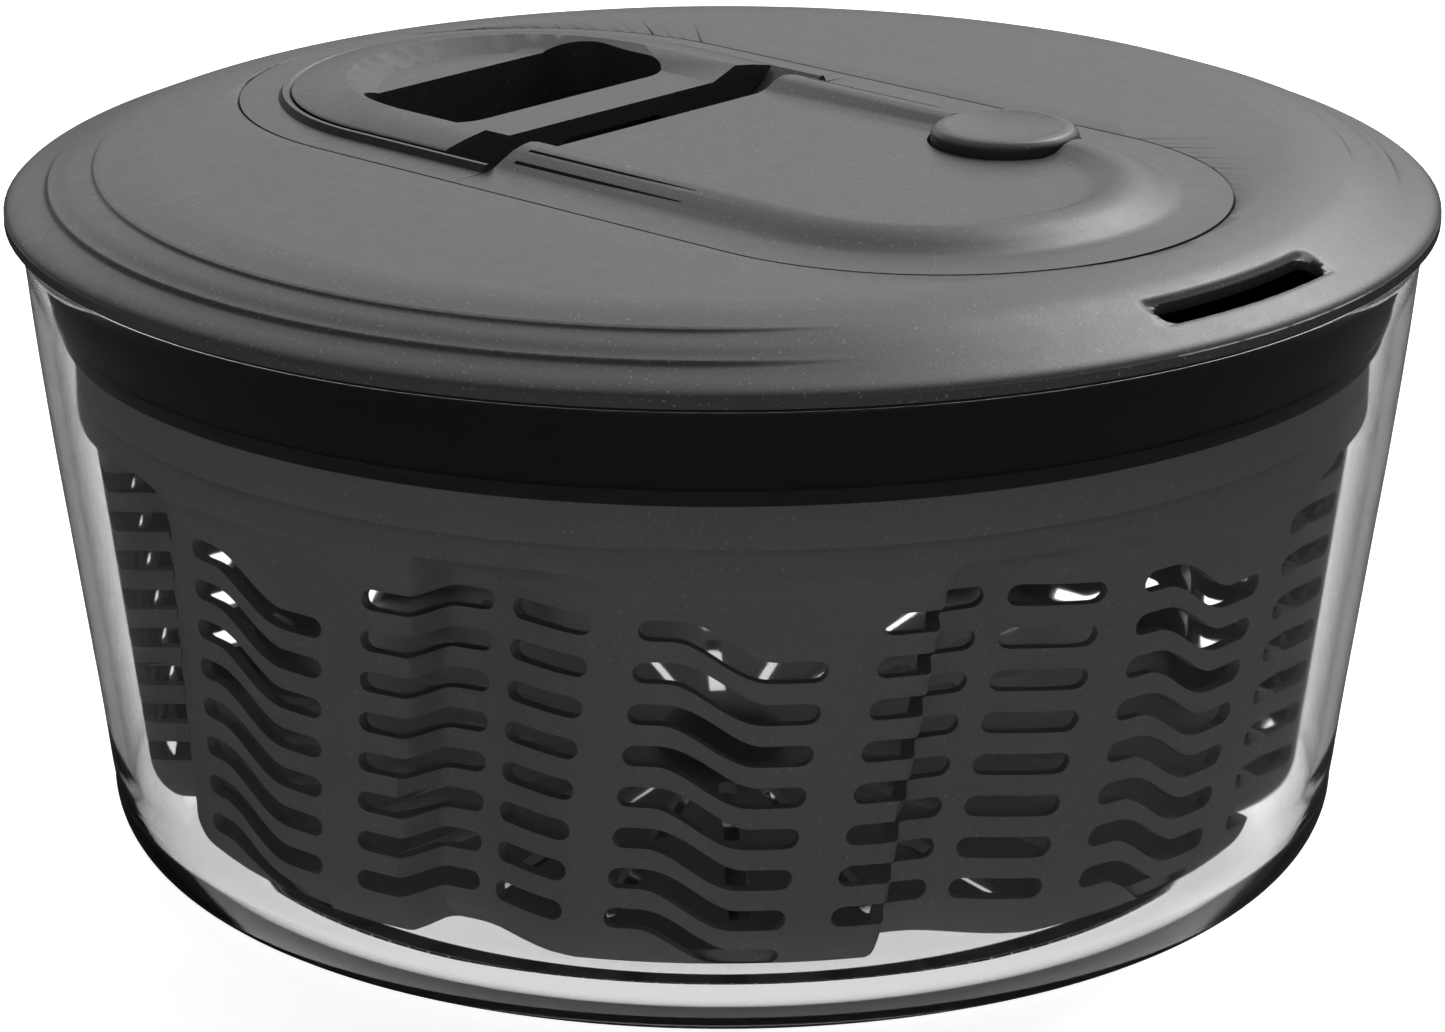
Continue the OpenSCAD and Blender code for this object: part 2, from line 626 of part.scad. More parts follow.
// Clock spring: half turns whose centre alternates, so each joins the next smoothly.
module return_spring() {
    strip = 0.3;
    step = 0.55;
    turns = 11;
    color([0.6, 0.62, 0.65]) for (k = [0:turns - 1]) let (r = 5.9 + k * step)
        translate([k % 2 == 0 ? 0 : step, 0, 0]) rotate([0, 0, k % 2 == 0 ? 0 : 180])
            rotate_extrude(angle = 180) translate([r, case_z + 2]) square([strip, 6]);
}

module ratchet_arms() {
    color([0.83, 0.82, 0.78]) {
        tube(neck_r + 1.8, neck_r, neck_z + 0.4, 103.2);
        for (i = [0:2]) rotate([0, 0, i * 120]) {
            translate([-3.2, 0, 0]) sector(12.4, 13.7, 10, 78, neck_z + 0.6, 103);
            rotate([0, 0, 8]) translate([9.2, -3, neck_z + 0.6]) cube([1.8, 4.6, 103 - neck_z - 0.6]);
        }
    }
}

module ratchet_ring() {
    color([0.83, 0.82, 0.78]) translate([0, 0, disc_z + disc_t]) linear_extrude(clutch_top - disc_z - disc_t)
        difference() {
            circle(clutch_out);
            polygon([for (i = [0:clutch_teeth - 1]) for (e = [0, 1])
                let (a = (i + 0.12 * e) * 360 / clutch_teeth, r = e == 0 ? clutch_in : clutch_root)
                [r * cos(a), r * sin(a)]]);
        }
}

module drive_disc() {
    color([0.16, 0.16, 0.165]) difference() {
        union() {
            translate([0, 0, disc_z]) cylinder(r = disc_r, h = disc_t);
            tube(disc_r, disc_r - 3.5, disc_z, disc_rim);
            tube(clutch_out + 2, clutch_out, disc_z, clutch_top);
            for (i = [0:7]) rotate([0, 0, 22.5 + i * 45]) translate([clutch_out + 1, -0.8, disc_z - 3])
                cube([disc_r - clutch_out - 3, 1.6, 3.5]);
            translate([0, 0, disc_z - 0.5]) cylinder(r = 7, h = 2);
        }
        translate([0, 0, 90]) cylinder(r = axle_r + run_fit, h = 20);
        for (i = [0:flutes - 1]) rotate([0, 0, i * 360 / flutes])
            sector(disc_r - 2.8, disc_r + 3, -lug_half - 0.6, lug_half + 0.6, 90, 110);
    }
}

// ---------- brake ----------
module brake_button() {
    z = lid_z + 12.5;
    color([0.45, 0.45, 0.46]) translate([brake_x, brake_y, 0]) {
        rotate_extrude() polygon([[0, z - 0.9], [6, z - 0.8], [10, z - 0.3], [11.2, z],
            [12.6, z - 0.3], [brake_r, z - 1.3], [brake_r, 129], [brake_r - 1.6, 129],
            [brake_r - 1.6, z - 2.8], [0, z - 2.8]]);
        translate([0, 0, brake_pad_z + pad_t]) cylinder(r = axle_r, h = z - 2 - brake_pad_z - pad_t);
    }
}

module brake_spring() {
    turns = 6;
    ring = 16;
    z0 = guide_top + 0.5;
    z1 = lid_z + 9.2;
    route = [for (i = [0:turns * ring]) let (a = i * 360 / ring)
        [4.6 * cos(a), 4.6 * sin(a), z0 + (z1 - z0) * i / (turns * ring)]];
    color([0.7, 0.72, 0.75]) translate([brake_x, brake_y, 0]) swept(route, 0.45, 6);
}

module brake_pad() {
    color([0.1, 0.1, 0.1]) translate([brake_x, brake_y, brake_pad_z]) cylinder(r = 5, h = pad_t);
}

bowl();
foot_ring();
basket();
pivot_bush();
lid_shell();
lid_inner();
lid_seal();
lid_screws();
mechanism_cover();
mechanism_base();
base_screws();
handle_top();
handle_bottom();
handle_screws();
pull_cord();
cord_winding();
cord_guide();
cord_ferrule();
drive_axle();
axle_clip();
thrust_washer();
reel();
reel_cap();
spring_case();
return_spring();
ratchet_arms();
ratchet_ring();
drive_disc();
brake_button();
brake_spring();
brake_pad();
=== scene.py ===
import json
import math

import bmesh
import bpy
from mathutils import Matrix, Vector
from mathutils.geometry import delaunay_2d_cdt


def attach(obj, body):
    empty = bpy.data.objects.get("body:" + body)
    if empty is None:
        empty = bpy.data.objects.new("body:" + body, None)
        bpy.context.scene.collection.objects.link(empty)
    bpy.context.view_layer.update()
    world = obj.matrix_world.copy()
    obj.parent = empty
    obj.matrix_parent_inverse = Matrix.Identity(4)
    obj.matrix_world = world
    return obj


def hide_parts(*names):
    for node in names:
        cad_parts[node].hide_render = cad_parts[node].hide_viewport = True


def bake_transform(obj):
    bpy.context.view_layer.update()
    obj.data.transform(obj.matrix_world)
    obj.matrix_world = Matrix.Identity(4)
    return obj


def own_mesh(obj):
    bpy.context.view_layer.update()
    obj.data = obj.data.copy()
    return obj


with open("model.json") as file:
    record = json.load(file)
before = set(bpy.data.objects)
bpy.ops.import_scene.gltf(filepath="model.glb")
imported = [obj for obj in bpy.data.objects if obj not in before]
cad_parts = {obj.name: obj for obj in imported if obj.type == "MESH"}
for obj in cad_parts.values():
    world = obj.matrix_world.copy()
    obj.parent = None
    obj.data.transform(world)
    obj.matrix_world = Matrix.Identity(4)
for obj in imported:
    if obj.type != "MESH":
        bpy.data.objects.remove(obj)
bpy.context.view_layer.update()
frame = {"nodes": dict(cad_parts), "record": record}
MM = 0.001
NODES = frame["nodes"]
BODY_OF = {n: b for b, ns in frame["record"]["behaviour"]["bodies"].items() for n in ns}


# ---------------------------------------------------------------- materials
def new_material(name):
    mat = bpy.data.materials.new(name)
    mat.use_nodes = True
    nt = mat.node_tree
    nt.nodes.clear()
    out = nt.nodes.new("ShaderNodeOutputMaterial")
    bsdf = nt.nodes.new("ShaderNodeBsdfPrincipled")
    nt.links.new(bsdf.outputs[0], out.inputs[0])
    return mat, nt, bsdf, out


def coords(nt):
    return nt.nodes.new("ShaderNodeTexCoord").outputs["Object"]


def noise(nt, vec, scale, detail=2.0, rough=0.5):
    n = nt.nodes.new("ShaderNodeTexNoise")
    n.inputs["Scale"].default_value = scale
    n.inputs["Detail"].default_value = detail
    n.inputs["Roughness"].default_value = rough
    nt.links.new(vec, n.inputs["Vector"])
    return n.outputs["Fac"]


def ramp(nt, fac, stops):
    r = nt.nodes.new("ShaderNodeValToRGB")
    els = r.color_ramp.elements
    while len(els) < len(stops):
        els.new(0.5)
    for el, (pos, col) in zip(els, stops):
        el.position = pos
        el.color = (col, col, col, 1) if isinstance(col, (int, float)) else (*col, 1)
    nt.links.new(fac, r.inputs[0])
    return r.outputs["Color"]


def mix(nt, fac, a, b, mode="MIX"):
    m = nt.nodes.new("ShaderNodeMix")
    m.data_type = "RGBA"
    m.blend_type = mode
    for sock, val in ((m.inputs["Factor"], fac), (m.inputs["A"], a), (m.inputs["B"], b)):
        if hasattr(val, "links"):
            nt.links.new(val, sock)
        elif isinstance(val, (int, float)):
            sock.default_value = val
        else:
            sock.default_value = (*val, 1)
    return m.outputs["Result"]


def remap(nt, fac, lo, hi, f0=0.0, f1=1.0):
    m = nt.nodes.new("ShaderNodeMapRange")
    m.inputs["From Min"].default_value = f0
    m.inputs["From Max"].default_value = f1
    m.inputs["To Min"].default_value = lo
    m.inputs["To Max"].default_value = hi
    nt.links.new(fac, m.inputs["Value"])
    return m.outputs["Result"]


def bump(nt, bsdf, height, strength, distance):
    b = nt.nodes.new("ShaderNodeBump")
    b.inputs["Strength"].default_value = strength
    b.inputs["Distance"].default_value = distance
    nt.links.new(height, b.inputs["Height"])
    nt.links.new(b.outputs[0], bsdf.inputs["Normal"])


def plastic(name, base, rough=0.45, speckle=0.0, speck_scale=2600.0, grain=0.1, spec=0.5, cloud=0.08):
    """Moulded plastic: faint clouding, light specks, fine grain and slightly uneven gloss."""
    mat, nt, bsdf, _ = new_material(name)
    vec = coords(nt)
    tone = noise(nt, vec, 35.0, 3.0)
    low = tuple(c * (1 - cloud) for c in base)
    high = tuple(c * (1 + cloud) for c in base)
    col = mix(nt, tone, low, high)
    if speckle:
        specks = ramp(nt, noise(nt, vec, speck_scale, 1.0), [(0.68, 0.0), (0.74, 1.0)])
        light = tuple(min(1.0, c * (1 + speckle) + 0.02 * speckle) for c in base)
        col = mix(nt, specks, col, light)
    nt.links.new(col, bsdf.inputs["Base Color"])
    wear = noise(nt, vec, 260.0, 3.0, 0.6)
    nt.links.new(remap(nt, wear, rough - 0.02, rough + 0.02, 0.3, 0.7), bsdf.inputs["Roughness"])
    bsdf.inputs["Specular IOR Level"].default_value = spec
    bump(nt, bsdf, noise(nt, vec, 1800.0, 2.0), grain, 0.0002)
    return mat


def metal(name, base, rough=0.28, along=(900, 900, 60)):
    """Drawn or turned steel with fine lines."""
    mat, nt, bsdf, _ = new_material(name)
    mp = nt.nodes.new("ShaderNodeMapping")
    mp.inputs["Scale"].default_value = along
    nt.links.new(coords(nt), mp.inputs["Vector"])
    lines = noise(nt, mp.outputs[0], 3.0, 3.0)
    nt.links.new(mix(nt, lines, tuple(c * 0.85 for c in base), base), bsdf.inputs["Base Color"])
    bsdf.inputs["Metallic"].default_value = 1.0
    nt.links.new(remap(nt, lines, rough - 0.08, rough + 0.1, 0.3, 0.7), bsdf.inputs["Roughness"])
    bump(nt, bsdf, lines, 0.06, 0.0001)
    return mat


def clear_plastic(name, tint, rough=0.02):
    """Thick clear plastic with faint handling haze; lamps reach through it."""
    mat, nt, bsdf, out = new_material(name)
    vec = coords(nt)
    bsdf.inputs["Base Color"].default_value = (*tint, 1)
    bsdf.inputs["Transmission Weight"].default_value = 1.0
    bsdf.inputs["IOR"].default_value = 1.52
    haze = noise(nt, vec, 14.0, 5.0, 0.65)
    nt.links.new(remap(nt, haze, rough, rough + 0.03, 0.45, 0.75), bsdf.inputs["Roughness"])
    bump(nt, bsdf, noise(nt, vec, 9.0, 1.0), 0.02, 0.0006)
    through = nt.nodes.new("ShaderNodeBsdfTransparent")
    through.inputs[0].default_value = (0.93, 0.94, 0.94, 1)
    path = nt.nodes.new("ShaderNodeLightPath")
    pick = nt.nodes.new("ShaderNodeMixShader")
    nt.links.new(path.outputs["Is Shadow Ray"], pick.inputs[0])
    nt.links.new(bsdf.outputs[0], pick.inputs[1])
    nt.links.new(through.outputs[0], pick.inputs[2])
    nt.links.new(pick.outputs[0], out.inputs[0])
    return mat


def fibre(name, base):
    mat, nt, bsdf, _ = new_material(name)
    w = nt.nodes.new("ShaderNodeTexWave")
    w.inputs["Scale"].default_value = 500.0
    w.inputs["Distortion"].default_value = 3.0
    w.bands_direction = "DIAGONAL"
    nt.links.new(coords(nt), w.inputs["Vector"])
    nt.links.new(mix(nt, w.outputs["Fac"], tuple(c * 0.7 for c in base), base), bsdf.inputs["Base Color"])
    bsdf.inputs["Roughness"].default_value = 0.85
    bump(nt, bsdf, w.outputs["Fac"], 0.5, 0.0002)
    return mat


MAT = {
    "clear_plastic": clear_plastic("clear_plastic", (0.965, 0.97, 0.97)),
    "soft_clear": plastic("soft_clear", (0.62, 0.63, 0.64), 0.55, grain=0.05),
    # basket_plastic is the lid's dark plastic given about two and a half times its colour: painted light,
    # standing in for the light the clear bowl keeps from the basket
    "basket_plastic": plastic("basket_plastic", (0.128, 0.123, 0.116), 0.5, 0.7, 1800.0, 0.12, cloud=0.06),
    "bush_plastic": plastic("bush_plastic", (0.72, 0.72, 0.70), 0.4),
    "lid_plastic": plastic("lid_plastic", (0.050, 0.050, 0.0485), 0.44, 1.6, 1500.0, 0.10, cloud=0.012),
    "inner_plastic": plastic("inner_plastic", (0.008, 0.008, 0.0085), 0.3),
    "seal_rubber": plastic("seal_rubber", (0.012, 0.012, 0.012), 0.6),
    "handle_plastic": plastic("handle_plastic", (0.048, 0.048, 0.0465), 0.44, 1.4, 1500.0, 0.10, cloud=0.012),
    "button_plastic": plastic("button_plastic", (0.056, 0.056, 0.0545), 0.43, 1.2, 1500.0, 0.10, cloud=0.012),
    "screw_steel": metal("screw_steel", (0.62, 0.62, 0.64)),
    "axle_steel": metal("axle_steel", (0.66, 0.67, 0.69), 0.2),
    "spring_steel": metal("spring_steel", (0.5, 0.52, 0.55), 0.3),
    "cord_fibre": fibre("cord_fibre", (0.80, 0.80, 0.77)),
    "reel_plastic": plastic("reel_plastic", (0.03, 0.03, 0.032), 0.4),
    "clutch_plastic": plastic("clutch_plastic", (0.66, 0.64, 0.57), 0.35),
    "disc_plastic": plastic("disc_plastic", (0.018, 0.018, 0.019), 0.32),
}
SLOT_OF = {s["node"]: s["material_slot"] for s in frame["record"]["subparts"]}
for node, obj in NODES.items():
    obj.data.materials.clear()
    obj.data.materials.append(MAT[SLOT_OF[node]])


# ---------------------------------------------------------------- mesh helpers
def finish_piece(name, me, body, slot, sharp=35.0):
    me.validate()
    me.shade_smooth()
    me.set_sharp_from_angle(angle=math.radians(sharp))
    me.materials.clear()
    me.materials.append(MAT[slot])
    ob = bpy.data.objects.new(name, me)
    bpy.context.scene.collection.objects.link(ob)
    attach(ob, body)
    return ob


def even_shading(ob):
    """Large flat faces decide the shading of the edges round them."""
    mod = ob.modifiers.new("even", "WEIGHTED_NORMAL")
    mod.keep_sharp = True
    mod.weight = 90


def refined(node, bevel=0.35, limit=28.0, segments=2, sharp=35.0):
    """A CAD node's shape with its edges rounded."""
    me = NODES[node].data.copy()
    bm = bmesh.new()
    bm.from_mesh(me)
    bmesh.ops.remove_doubles(bm, verts=bm.verts, dist=1e-6)
    bmesh.ops.dissolve_limit(bm, angle_limit=math.radians(0.4), verts=bm.verts, edges=bm.edges)
    bm.normal_update()
    edges = [e for e in bm.edges if len(e.link_faces) == 2 and e.calc_face_angle(0) > math.radians(limit)]
    bmesh.ops.bevel(bm, geom=edges, offset=bevel * MM, offset_type="OFFSET", segments=segments,
                    profile=0.5, affect="EDGES", clamp_overlap=True)
    bmesh.ops.triangulate(bm, faces=[f for f in bm.faces if len(f.verts) > 4])
    bm.to_mesh(me)
    bm.free()
    ob = finish_piece(node + "_part", me, BODY_OF[node], SLOT_OF[node], sharp)
    even_shading(ob)
    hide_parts(node)
    return ob


def mesh_of(name, verts, faces):
    me = bpy.data.meshes.new(name)
    me.from_pydata([tuple(c * MM for c in v) for v in verts], [], faces)
    me.update()
    return me


def revolved(name, profile, steps=192):
    """Closed ring swept round Z from a closed (r, z) outline in mm, counter-clockwise."""
    verts, faces = [], []
    n = len(profile)
    for i in range(steps):
        a = 2 * math.pi * i / steps
        verts += [(r * math.cos(a), r * math.sin(a), z) for r, z in profile]
    for i in range(steps):
        j = (i + 1) % steps
        for k in range(n):
            m = (k + 1) % n
            faces.append((i * n + k, j * n + k, j * n + m, i * n + m))
    me = mesh_of(name, verts, faces)
    bm = bmesh.new()
    bm.from_mesh(me)
    bmesh.ops.remove_doubles(bm, verts=bm.verts, dist=1e-7)
    bmesh.ops.recalc_face_normals(bm, faces=bm.faces)
    bm.to_mesh(me)
    bm.free()
    return me


def arc(cx, cz, r, a0, a1, n):
    return [(cx + r * math.cos(math.radians(a0 + (a1 - a0) * i / n)),
             cz + r * math.sin(math.radians(a0 + (a1 - a0) * i / n))) for i in range(n + 1)]


def smooth(t):
    t = max(0.0, min(1.0, t))
    return t * t * (3 - 2 * t)


def spline(points, x):
    """Smooth interpolation through (x, y) points."""
    for k in range(len(points) - 1):
        if x <= points[k + 1][0] or k == len(points) - 2:
            break
    def slope(i):
        lo, hi = max(0, i - 1), min(len(points) - 1, i + 1)
        return (points[hi][1] - points[lo][1]) / (points[hi][0] - points[lo][0])
    (x0, y0), (x1, y1) = points[k], points[k + 1]
    h = x1 - x0
    t = min(1.0, max(0.0, (x - x0) / h))
    m0, m1 = slope(k) * h, slope(k + 1) * h
    return ((2 * t**3 - 3 * t**2 + 1) * y0 + (t**3 - 2 * t**2 + t) * m0
            + (3 * t**2 - 2 * t**3) * y1 + (t**3 - t**2) * m1)


# ---------------------------------------------------------------- bowl
WALL = [(18, 116.0), (30, 117.5), (40, 118.9), (60, 121.7), (80, 124.5), (100, 127.0), (117, 128.8)]
outside = arc(102.4, 13.3, 13.0, -90, 3, 16) + [(spline(WALL, z), z) for z in range(18, 118, 4)]
rim = [(129.2, 117.6), (129.3, 118.2), (129.3, 119.6)] + arc(128.9, 119.8, 0.4, 0, 90, 3) \
    + arc(126.7, 119.7, 0.5, 90, 180, 3)
inside = [(spline(WALL, z) - 2.8, z) for z in range(117, 20, -4)] + arc(102.0, 14.0, 10.4, 0, -90, 14)
pin = [(9.5, 3.6), (8, 4.6), (7, 10), (4.2, 11), (4, 11.6), (4, 17), (3.4, 17.8), (2.4, 18), (0, 18)]
foot_groove = [(0, 0.3), (87, 0.3), (87, 2.1), (93, 2.1), (93, 0.3)]
bowl = finish_piece("bowl_clear", revolved("bowl", outside + rim + inside + pin + foot_groove, 256),
                    "bowl_body", "clear_plastic", 50)
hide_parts("bowl")


# ---------------------------------------------------------------- basket
FLUTES, PITCH, SLOT_H, ROWS = 8, 7.9, 4.0, 8
STEP_A, STEP_B, DEPTH, START = 26.7, 28.9, 9.0, -55.5
TOP_ROW = 80.3
ROUND_TOP = 21.0                              # the wall rounds in to the floor below this height
ROUND_LOW = 12.0                              # height at which the rounding would end
ROUND_IN = 7.0                                # how far it would have come in by then


def lean(z):
    return 4.5 * (z - TOP_ROW) / 66.3


def outer_r(z):
    cone = 116 + 0.128 * (z - 73)
    if z < ROUND_TOP:
        t = (ROUND_TOP - z) / (ROUND_TOP - ROUND_LOW)
        return cone - ROUND_IN * (1 - math.sqrt(max(0.0, 1 - t * t)))
    if z < 83:
        return cone
    if z < 89:
        return cone + (120.3 - cone) * smooth((z - 83) / 6.0)
    crease = 0.35 * math.exp(-((z - 93.7) / 0.5) ** 2)
    return 120.3 - crease


def set_back(u, z):
    u = (u + 1.0) % 45.0 - 1.0
    if u <= 0 or u >= 45:
        base = 0.0
    elif u < STEP_A:
        base = 0.0
    else:
        ramp_part = DEPTH * (1 - smooth((u - 31.0) / 14.0))
        base = ramp_part * smooth((u - STEP_A) / (STEP_B - STEP_A))
    if z > 80:
        t = min(1.0, (z - 80) / 8.6)
        base *= math.sqrt(max(0.0, 1 - t ** 2.6))
    return base


def wall_point(u, z):
    a = math.radians(START + u + lean(z))
    r = outer_r(z) - set_back(u, z)
    return Vector((r * math.cos(a), r * math.sin(a), z))


def wall_inner(u, z, t=2.2):
    d = 0.25
    p = wall_point(u, z)
    du = wall_point(u + d, z) - wall_point(u - d, z)
    n = Vector((du.y, -du.x, 0)).normalized()
    return p - n * t


DEG = 180 / math.pi / 116.0                   # degrees per mm along the wall


def centre_slot(u0, u1, z, drop=0.0, d0=4.6, d1=13.6):
    """Outline, in (degrees, mm), of a slot whose middle line may fall on its way."""
    r = SLOT_H / 2
    mid = []
    n = max(10, int((u1 - u0) / 0.55))
    for i in range(n + 1):
        u = (u0 + r * DEG) + (u1 - u0 - 2 * r * DEG) * i / n
        mid.append((u / DEG, z - drop * smooth((u - d0) / (d1 - d0)) if drop else z))
    dirs = []
    for i in range(len(mid)):
        a, b = mid[max(0, i - 1)], mid[min(len(mid) - 1, i + 1)]
        dirs.append(math.atan2(b[1] - a[1], b[0] - a[0]))
    low = [(m[0] + r * math.sin(t), m[1] - r * math.cos(t)) for m, t in zip(mid, dirs)]
    top = [(m[0] - r * math.sin(t), m[1] + r * math.cos(t)) for m, t in zip(mid, dirs)]
    end = [(mid[-1][0] + r * math.cos(t), mid[-1][1] + r * math.sin(t))
           for t in [math.radians(k) for k in (-60, -30, 0, 30, 60)]]
    start = [(mid[0][0] + r * math.cos(t), mid[0][1] + r * math.sin(t))
             for t in [math.radians(k) for k in (120, 150, 180, 210, 240)]]
    ring = low + end + top[::-1] + start
    return [(x * DEG, y) for x, y in ring]


def slots_of_flute():
    out = []
    for k in range(ROWS):
        z = TOP_ROW - SLOT_H / 2 - k * PITCH
        out.append(centre_slot(1.7, 18.0, z, PITCH))
        out.append(centre_slot(22.1, 32.8, z))
        out.append(centre_slot(34.8, 42.8, z))
    return out


def inside_poly(p, poly):
    c = False
    for i in range(len(poly)):
        (x0, y0), (x1, y1) = poly[i - 1], poly[i]
        if (y0 > p[1]) != (y1 > p[1]) and p[0] < (x1 - x0) * (p[1] - y0) / (y1 - y0) + x0:
            c = not c
    return c


def triangulated(points, loops):
    """Triangles over the points, leaving the closed loops empty."""
    verts = [Vector(p) for p in points]
    edges = []
    for loop in loops:
        base = len(verts)
        verts += [Vector(p) for p in loop]
        edges += [(base + i, base + (i + 1) % len(loop)) for i in range(len(loop))]
    vs, _, fs, *_ = delaunay_2d_cdt(verts, edges, [], 0, 1e-5)
    boxes = [(min(p[0] for p in l), max(p[0] for p in l), min(p[1] for p in l), max(p[1] for p in l), l)
             for l in loops]
    keep = []
    for f in fs:
        c = sum((vs[i] for i in f), Vector((0, 0))) / 3
        if any(b[0] < c.x < b[1] and b[2] < c.y < b[3] and inside_poly(c, b[4]) for b in boxes):
            continue
        keep.append(tuple(f))
    return [tuple(v) for v in vs], keep


def shelled(vs, faces, outer, inner, seams=()):
    """Two skins and the walls between them; boundary edges on a seam stay open."""
    n = len(vs)
    verts = [tuple(outer(*v)) for v in vs] + [tuple(inner(*v)) for v in vs]
    count = {}
    for f in faces:
        for i in range(3):
            e = (f[i], f[(i + 1) % 3])
            count[tuple(sorted(e))] = count.get(tuple(sorted(e)), 0) + 1
    out = [tuple(f) for f in faces] + [tuple(n + i for i in reversed(f)) for f in faces]
    for f in faces:
        for i in range(3):
            a, b = f[i], f[(i + 1) % 3]
            if count[tuple(sorted((a, b)))] == 1:
                if any(abs(vs[a][0] - s) < 1e-4 and abs(vs[b][0] - s) < 1e-4 for s in seams):
                    continue
                out.append((b, a, n + a, n + b))
    return verts, out


def basket_wall():
    u0, u1 = -1.0, 44.0
    foot = [13, 13.6, 14.4, 15.4, 16.6, 18, 19.6, 21.2]
    rows = [foot[-1] + 2.9 * k for k in range(1, 20)]
    arch = [79, 81.6, 83, 84.2, 85.2, 86.2, 87, 87.8, 88.4, 89]
    band = [91, 92.8, 93.3, 93.7, 94.1, 94.6, 97, 100, 102.4, 103]
    zs = sorted(set(round(z, 3) for z in foot + rows + arch + band))
    step = [26, 26.6, 27.1, 27.5, 27.9, 28.3, 28.8, 29.4]
    us = [u0 + 1.8 * k for k in range(15)] + step + [31 + 1.7 * k for k in range(8)] + [u1]
    us = sorted(set(round(u, 3) for u in us))
    loops = slots_of_flute()
    pts = []
    for u in us:
        for z in zs:
            near = any(min(p[0] for p in l) - 0.5 < u < max(p[0] for p in l) + 0.5
                       and min(p[1] for p in l) - 0.8 < z < max(p[1] for p in l) + 0.8
                       and (inside_poly((u, z), l) or min(((u - p[0]) / DEG) ** 2 + (z - p[1]) ** 2
                                                          for p in l) < 0.64) for l in loops)
            if not near or u in (u0, u1):
                pts.append((u, z))
    vs, faces = triangulated(pts, loops)
    return shelled(vs, faces, wall_point, wall_inner, (u0, u1))


def basket_floor():
    rim_pts = [wall_inner(45 * k / 24 + 45 * f, 13.6, 1.0) for f in range(FLUTES) for k in range(24)]
    loop_out = [(p.x, p.y) for p in rim_pts]
    pts = list(loop_out)
    for r in range(8, 96, 8):
        m = max(8, int(r * 0.8))
        pts += [(r * math.cos(2 * math.pi * i / m), r * math.sin(2 * math.pi * i / m)) for i in range(m)]
    loops = []
    for i in range(24):
        a = math.radians(15 * i)
        c, s = math.cos(a), math.sin(a)
        for x0, x1, h in ((24, 54, 1.6), (60, 92, 2.0)):
            ring = arc(x1 - h, 0, h, -90, 90, 5) + arc(x0 + h, 0, h, 90, 270, 5)
            loops.append([(x * c - y * s, x * s + y * c) for x, y in ring])
    pts = [p for p in pts if not any(inside_poly(p, l) for l in loops)]
    vs, faces = triangulated(pts, loops)
    faces = [f for f in faces if inside_poly(sum((Vector(vs[i]) for i in f), Vector((0, 0))) / 3, loop_out)]
    return shelled(vs, faces, lambda x, y: Vector((x, y, 15.5)), lambda x, y: Vector((x, y, 13.3)))


def rim_lug(bm, azimuth):
    """A driving lug inside the band: an upright block, its ring as (radius, degrees)."""
    ring = [(114.6, -1.4), (118.9, -1.4), (118.9, 1.4), (114.6, 1.4)]
    ends = []
    for z in (87.2, 100.4):
        end = []
        for r, d in ring:
            a = azimuth + math.radians(d)
            end.append(bm.verts.new(Vector((r * math.cos(a), r * math.sin(a), z)) * MM))
        ends.append(end)
    lo, hi = ends
    bm.faces.new(lo[::-1])
    bm.faces.new(hi)
    for i in range(4):
        bm.faces.new((lo[i], lo[(i + 1) % 4], hi[(i + 1) % 4], hi[i]))


def make_basket():
    verts, faces = basket_wall()
    all_v, all_f = [], []
    for f in range(FLUTES):
        a = math.radians(45 * f)
        c, s = math.cos(a), math.sin(a)
        base = len(all_v)
        all_v += [(x * c - y * s, x * s + y * c, z) for x, y, z in verts]
        all_f += [tuple(base + i for i in fc) for fc in faces]
    me = mesh_of("basket_wall", all_v, all_f)
    bm = bmesh.new()
    bm.from_mesh(me)
    bmesh.ops.remove_doubles(bm, verts=bm.verts, dist=2e-6)
    floor_v, floor_f = basket_floor()
    vs = [bm.verts.new(Vector(v) * MM) for v in floor_v]
    for fc in floor_f:
        bm.faces.new([vs[i] for i in fc])
    hub = [(6, 13.05), (6, 20), (0, 20), (0, 22), (7.6, 22), (9, 21.2), (13.6, 15.4), (13.6, 13.05)]
    bm.from_mesh(revolved("hub", hub, 48))
    for f in range(FLUTES):
        rim_lug(bm, math.radians(45 * f))
    bmesh.ops.recalc_face_normals(bm, faces=bm.faces)
    bm.to_mesh(me)
    bm.free()
    ob = finish_piece("basket_fluted", me, "basket_body", "basket_plastic", 38)
    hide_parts("basket")
    return ob


make_basket()

# ---------------------------------------------------------------- lid, cover, handle, button
def lid_top(r, a):
    """Height in mm of the lid's outer surface; a in degrees."""
    h = spline(DOME, min(r, 131.9))
    a = abs(a)
    fade = smooth((a - 35) / 16) * smooth((146 - a) / 16)
    for ridge in (115.3, 123.9):
        d = r - ridge
        if d <= 0:
            h += 0.16 * fade * math.exp(-(d / 0.9) ** 2)
        h -= fade * 0.42 * smooth(d / 0.7) * (1 - smooth((d - 0.7) / 5.0))
    if a < 12 and 116 < r < 128:
        dr = max(119.5 - r, r - 125.0, 0.0)
        da = max(math.radians(a - 9) * 122.25 - 2.75, 0.0)
        edge = math.hypot(dr, da)
        h -= (0.9 if r < 122 else 0.4) * (1 - smooth(edge / (1.3 if r < 122 else 0.7)))
    return h


DOME = [(0, 132), (100, 132), (107, 131.65), (111, 131.15), (115.5, 130.3), (119.5, 129.0), (123.9, 127.25),
        (127.5, 125.75), (130.4, 124.55), (131.4, 123.9), (131.9, 123.3)]


